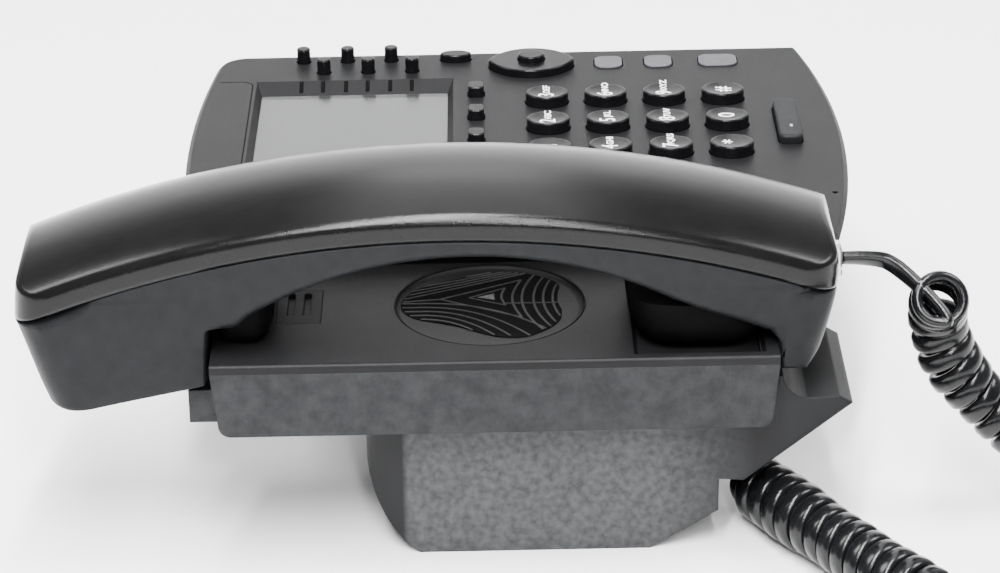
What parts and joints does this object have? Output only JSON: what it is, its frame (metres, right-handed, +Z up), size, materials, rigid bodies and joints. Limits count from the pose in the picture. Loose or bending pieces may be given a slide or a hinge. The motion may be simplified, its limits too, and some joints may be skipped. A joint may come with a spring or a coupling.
{
  "type": "desk ip phone",
  "caption": "Desk telephone with a keypad face, tilted-view display, curved corded handset on a side cradle, curly cord and a wedge stand.",
  "frame": {"origin": "on the flat foot of the stand, at the level of the desk, midway between the stand's sides", "axes": "+X from the handset to the outer side of the keypad, +Y towards the display end, +Z up"},
  "size_m": [0.2586, 0.3018, 0.097],
  "materials": {
    "face_plastic": "fine matte dark grey",
    "case_plastic": "matte dark grey with a fine mottle",
    "stand_plastic": "coarse spark texture",
    "window": "clear polished window",
    "lcd": "unlit grey panel",
    "board": "green solder mask",
    "membrane": "soft grey rubber",
    "speaker": "paper cone and frame",
    "clear_plug": "clear polycarbonate",
    "jack_plastic": "black moulded housing",
    "steel": "zinc plated",
    "foot_rubber": "matte rubber",
    "cord": "glossy black vinyl",
    "handset_top": "satin with a fine sparkling grain",
    "handset_bottom": "matte dark grey with a fine mottle",
    "key_gloss": "glossy black sides and a dished satin top",
    "flush_key": "translucent lavender grey"
  },
  "bodies": {
    "base": {"top_case": "face_plastic", "bottom_case": "case_plastic", "stand": "stand_plastic", "display_window": "window", "lcd_panel": "lcd", "keypad_board": "board", "key_membrane": "membrane", "main_board": "board", "speaker_driver": "speaker", "hook_tab": "case_plastic", "base_plug": "clear_plug", "base_handset_jack": "jack_plastic", "network_jacks": "jack_plastic", "case_screws": "steel", "rubber_feet": "foot_rubber", "cord_coil": "cord", "cord_lead_handset": "cord", "cord_lead_base": "cord"},
    "handset": {"handset_upper_shell": "handset_top", "handset_lower_shell": "handset_bottom", "earpiece_receiver": "speaker", "handset_microphone": "steel", "handset_plug": "clear_plug", "handset_jack": "jack_plastic"},
    "hookswitch": {"hookswitch_plunger": "key_gloss"},
    "dial_key_1": {"dial_key_1": "key_gloss"},
    "dial_key_2": {"dial_key_2": "key_gloss"},
    "dial_key_3": {"dial_key_3": "key_gloss"},
    "dial_key_4": {"dial_key_4": "key_gloss"},
    "dial_key_5": {"dial_key_5": "key_gloss"},
    "dial_key_6": {"dial_key_6": "key_gloss"},
    "dial_key_7": {"dial_key_7": "key_gloss"},
    "dial_key_8": {"dial_key_8": "key_gloss"},
    "dial_key_9": {"dial_key_9": "key_gloss"},
    "dial_key_0": {"dial_key_0": "key_gloss"},
    "dial_key_star": {"dial_key_star": "key_gloss"},
    "dial_key_hash": {"dial_key_hash": "key_gloss"},
    "line_key_right_1": {"line_key_right_1": "key_gloss"},
    "line_key_right_2": {"line_key_right_2": "key_gloss"},
    "line_key_right_3": {"line_key_right_3": "key_gloss"},
    "line_key_right_4": {"line_key_right_4": "key_gloss"},
    "line_key_right_5": {"line_key_right_5": "key_gloss"},
    "line_key_right_6": {"line_key_right_6": "key_gloss"},
    "line_key_left_1": {"line_key_left_1": "key_gloss"},
    "line_key_left_2": {"line_key_left_2": "key_gloss"},
    "line_key_left_3": {"line_key_left_3": "key_gloss"},
    "line_key_left_4": {"line_key_left_4": "key_gloss"},
    "line_key_left_5": {"line_key_left_5": "key_gloss"},
    "line_key_left_6": {"line_key_left_6": "key_gloss"},
    "soft_key_1": {"soft_key_1": "key_gloss"},
    "soft_key_2": {"soft_key_2": "key_gloss"},
    "soft_key_3": {"soft_key_3": "key_gloss"},
    "soft_key_4": {"soft_key_4": "key_gloss"},
    "home_key": {"home_key": "key_gloss"},
    "navigation_pad": {"navigation_pad": "key_gloss"},
    "select_key": {"select_key": "key_gloss"},
    "headset_key": {"headset_key": "flush_key"},
    "speaker_key": {"speaker_key": "flush_key"},
    "mute_key": {"mute_key": "flush_key"},
    "volume_rocker": {"volume_rocker": "key_gloss"}
  },
  "joints": [
    {"name": "handset_lift", "type": "slide", "parent": "base", "child": "handset", "axis": [0, 0, 1], "range_m": [0, 0.08]},
    {"name": "hookswitch", "type": "slide", "parent": "base", "child": "hookswitch", "axis": [0, 0, 1], "range_m": [0, 0.0024]},
    {"name": "dial_key_1_press", "type": "slide", "parent": "base", "child": "dial_key_1", "axis": [0, 0, -1], "range_m": [0, 0.0011], "stiffness_N_per_m": 250},
    {"name": "dial_key_2_press", "type": "slide", "parent": "base", "child": "dial_key_2", "axis": [0, 0, -1], "range_m": [0, 0.0011], "stiffness_N_per_m": 250},
    {"name": "dial_key_3_press", "type": "slide", "parent": "base", "child": "dial_key_3", "axis": [0, 0, -1], "range_m": [0, 0.0011], "stiffness_N_per_m": 250},
    {"name": "dial_key_4_press", "type": "slide", "parent": "base", "child": "dial_key_4", "axis": [0, 0, -1], "range_m": [0, 0.0011], "stiffness_N_per_m": 250},
    {"name": "dial_key_5_press", "type": "slide", "parent": "base", "child": "dial_key_5", "axis": [0, 0, -1], "range_m": [0, 0.0011], "stiffness_N_per_m": 250},
    {"name": "dial_key_6_press", "type": "slide", "parent": "base", "child": "dial_key_6", "axis": [0, 0, -1], "range_m": [0, 0.0011], "stiffness_N_per_m": 250},
    {"name": "dial_key_7_press", "type": "slide", "parent": "base", "child": "dial_key_7", "axis": [0, 0, -1], "range_m": [0, 0.0011], "stiffness_N_per_m": 250},
    {"name": "dial_key_8_press", "type": "slide", "parent": "base", "child": "dial_key_8", "axis": [0, 0, -1], "range_m": [0, 0.0011], "stiffness_N_per_m": 250},
    {"name": "dial_key_9_press", "type": "slide", "parent": "base", "child": "dial_key_9", "axis": [0, 0, -1], "range_m": [0, 0.0011], "stiffness_N_per_m": 250},
    {"name": "dial_key_0_press", "type": "slide", "parent": "base", "child": "dial_key_0", "axis": [0, 0, -1], "range_m": [0, 0.0011], "stiffness_N_per_m": 250},
    {"name": "dial_key_star_press", "type": "slide", "parent": "base", "child": "dial_key_star", "axis": [0, 0, -1], "range_m": [0, 0.0011], "stiffness_N_per_m": 250},
    {"name": "dial_key_hash_press", "type": "slide", "parent": "base", "child": "dial_key_hash", "axis": [0, 0, -1], "range_m": [0, 0.0011], "stiffness_N_per_m": 250},
    {"name": "line_key_right_1_press", "type": "slide", "parent": "base", "child": "line_key_right_1", "axis": [0, 0, -1], "range_m": [0, 0.0011], "stiffness_N_per_m": 250},
    {"name": "line_key_right_2_press", "type": "slide", "parent": "base", "child": "line_key_right_2", "axis": [0, 0, -1], "range_m": [0, 0.0011], "stiffness_N_per_m": 250},
    {"name": "line_key_right_3_press", "type": "slide", "parent": "base", "child": "line_key_right_3", "axis": [0, 0, -1], "range_m": [0, 0.0011], "stiffness_N_per_m": 250},
    {"name": "line_key_right_4_press", "type": "slide", "parent": "base", "child": "line_key_right_4", "axis": [0, 0, -1], "range_m": [0, 0.0011], "stiffness_N_per_m": 250},
    {"name": "line_key_right_5_press", "type": "slide", "parent": "base", "child": "line_key_right_5", "axis": [0, 0, -1], "range_m": [0, 0.0011], "stiffness_N_per_m": 250},
    {"name": "line_key_right_6_press", "type": "slide", "parent": "base", "child": "line_key_right_6", "axis": [0, 0, -1], "range_m": [0, 0.0011], "stiffness_N_per_m": 250},
    {"name": "line_key_left_1_press", "type": "slide", "parent": "base", "child": "line_key_left_1", "axis": [0, 0, -1], "range_m": [0, 0.0011], "stiffness_N_per_m": 250},
    {"name": "line_key_left_2_press", "type": "slide", "parent": "base", "child": "line_key_left_2", "axis": [0, 0, -1], "range_m": [0, 0.0011], "stiffness_N_per_m": 250},
    {"name": "line_key_left_3_press", "type": "slide", "parent": "base", "child": "line_key_left_3", "axis": [0, 0, -1], "range_m": [0, 0.0011], "stiffness_N_per_m": 250},
    {"name": "line_key_left_4_press", "type": "slide", "parent": "base", "child": "line_key_left_4", "axis": [0, 0, -1], "range_m": [0, 0.0011], "stiffness_N_per_m": 250},
    {"name": "line_key_left_5_press", "type": "slide", "parent": "base", "child": "line_key_left_5", "axis": [0, 0, -1], "range_m": [0, 0.0011], "stiffness_N_per_m": 250},
    {"name": "line_key_left_6_press", "type": "slide", "parent": "base", "child": "line_key_left_6", "axis": [0, 0, -1], "range_m": [0, 0.0011], "stiffness_N_per_m": 250},
    {"name": "soft_key_1_press", "type": "slide", "parent": "base", "child": "soft_key_1", "axis": [0, 0, -1], "range_m": [0, 0.0011], "stiffness_N_per_m": 250},
    {"name": "soft_key_2_press", "type": "slide", "parent": "base", "child": "soft_key_2", "axis": [0, 0, -1], "range_m": [0, 0.0011], "stiffness_N_per_m": 250},
    {"name": "soft_key_3_press", "type": "slide", "parent": "base", "child": "soft_key_3", "axis": [0, 0, -1], "range_m": [0, 0.0011], "stiffness_N_per_m": 250},
    {"name": "soft_key_4_press", "type": "slide", "parent": "base", "child": "soft_key_4", "axis": [0, 0, -1], "range_m": [0, 0.0011], "stiffness_N_per_m": 250},
    {"name": "home_key_press", "type": "slide", "parent": "base", "child": "home_key", "axis": [0, 0, -1], "range_m": [0, 0.0011], "stiffness_N_per_m": 250},
    {"name": "navigation_pad_press", "type": "slide", "parent": "base", "child": "navigation_pad", "axis": [0, 0, -1], "range_m": [0, 0.0011], "stiffness_N_per_m": 250},
    {"name": "select_key_press", "type": "slide", "parent": "base", "child": "select_key", "axis": [0, 0, -1], "range_m": [0, 0.0011], "stiffness_N_per_m": 250},
    {"name": "headset_key_press", "type": "slide", "parent": "base", "child": "headset_key", "axis": [0, 0, -1], "range_m": [0, 0.0005], "stiffness_N_per_m": 250},
    {"name": "speaker_key_press", "type": "slide", "parent": "base", "child": "speaker_key", "axis": [0, 0, -1], "range_m": [0, 0.0005], "stiffness_N_per_m": 250},
    {"name": "mute_key_press", "type": "slide", "parent": "base", "child": "mute_key", "axis": [0, 0, -1], "range_m": [0, 0.0005], "stiffness_N_per_m": 250},
    {"name": "volume_rock", "type": "hinge", "parent": "base", "child": "volume_rocker", "pos_m": [0.0365, -0.0794, 0.0587], "axis": [0, 1, 0], "range_deg": [-2.2, 2.2], "stiffness_Nm_per_rad": 0.03}
  ],
  "couplings": [
    {"joint": "hookswitch", "follows": "handset_lift", "ratio": 0.03}
  ]
}
